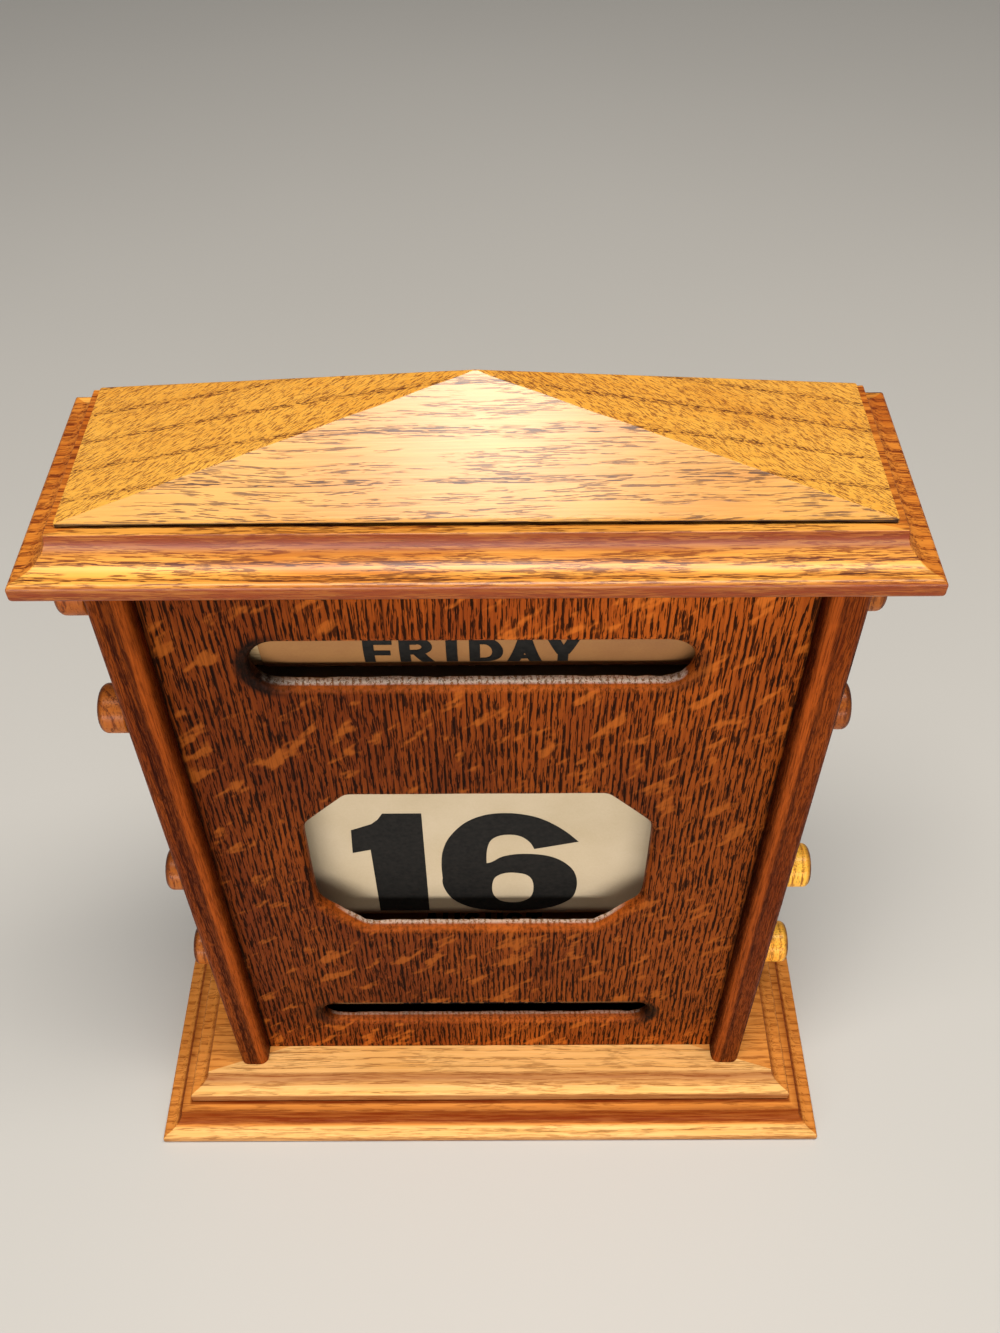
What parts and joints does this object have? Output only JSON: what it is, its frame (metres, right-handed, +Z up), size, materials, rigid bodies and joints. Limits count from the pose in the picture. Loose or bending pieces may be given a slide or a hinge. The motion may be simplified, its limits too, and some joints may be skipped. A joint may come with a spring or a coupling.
{
  "type": "perpetual desk calendar",
  "caption": "Upright oak desk calendar with moulded base and cap, pyramid roof, three windows and side knobs that turn day, date and month rollers.",
  "frame": {"origin": "on the surface that the calendar stands on, under the centre of its lower base board", "axes": "+X to the right as seen from the front, +Y from the front to the back, +Z up"},
  "size_m": [0.253, 0.091, 0.3172],
  "materials": {
    "golden_oak": "satin varnish",
    "brown_oak": "satin varnish",
    "dark_oak": "satin varnish",
    "knob_oak": "satin varnish",
    "dowel": "bare",
    "paper": "matt, printed",
    "brass": "satin",
    "steel": "satin"
  },
  "bodies": {
    "case": {"base_lower_board": "golden_oak", "base_upper_board": "golden_oak", "left_side_board": "brown_oak", "right_side_board": "brown_oak", "front_panel": "dark_oak", "back_panel": "dark_oak", "cap_board": "golden_oak", "roof_block": "golden_oak", "date_scroll_span": "paper", "back_screw_1": "brass", "back_screw_2": "brass", "back_screw_3": "brass", "back_screw_4": "brass", "back_screw_5": "brass", "back_screw_6": "brass", "base_screw_1": "steel", "base_screw_2": "steel", "base_screw_3": "steel", "base_screw_4": "steel", "cap_screw_1": "steel", "cap_screw_2": "steel", "cap_screw_3": "steel", "cap_screw_4": "steel", "roof_screw_1": "steel", "roof_screw_2": "steel"},
    "day_roller_set": {"day_axle": "dowel", "day_drum": "dowel", "day_name_strip": "paper", "day_knob_left": "knob_oak", "day_knob_right": "knob_oak"},
    "date_upper_roller_set": {"date_upper_axle": "dowel", "date_upper_roller": "dowel", "date_upper_scroll_roll": "paper", "date_upper_knob_left": "knob_oak", "date_upper_knob_right": "knob_oak"},
    "date_lower_roller_set": {"date_lower_axle": "dowel", "date_lower_roller": "dowel", "date_lower_scroll_roll": "paper", "date_lower_knob_left": "knob_oak", "date_lower_knob_right": "knob_oak"},
    "month_roller_set": {"month_axle": "dowel", "month_drum": "dowel", "month_name_strip": "paper", "month_knob_left": "knob_oak", "month_knob_right": "knob_oak"}
  },
  "joints": [
    {"name": "day_turn", "type": "hinge", "parent": "case", "child": "day_roller_set", "pos_m": [0, 0.013, 0.243], "axis": [1, 0, 0], "continuous": true},
    {"name": "date_upper_turn", "type": "hinge", "parent": "case", "child": "date_upper_roller_set", "pos_m": [0, 0.013, 0.1914], "axis": [1, 0, 0], "range_deg": [-4320, 4320]},
    {"name": "date_lower_turn", "type": "hinge", "parent": "case", "child": "date_lower_roller_set", "pos_m": [0, 0.013, 0.1028], "axis": [1, 0, 0], "range_deg": [-4320, 4320]},
    {"name": "month_turn", "type": "hinge", "parent": "case", "child": "month_roller_set", "pos_m": [0, 0.013, 0.0496], "axis": [1, 0, 0], "continuous": true}
  ],
  "couplings": [
    {"joint": "date_lower_turn", "follows": "date_upper_turn", "ratio": 1}
  ]
}
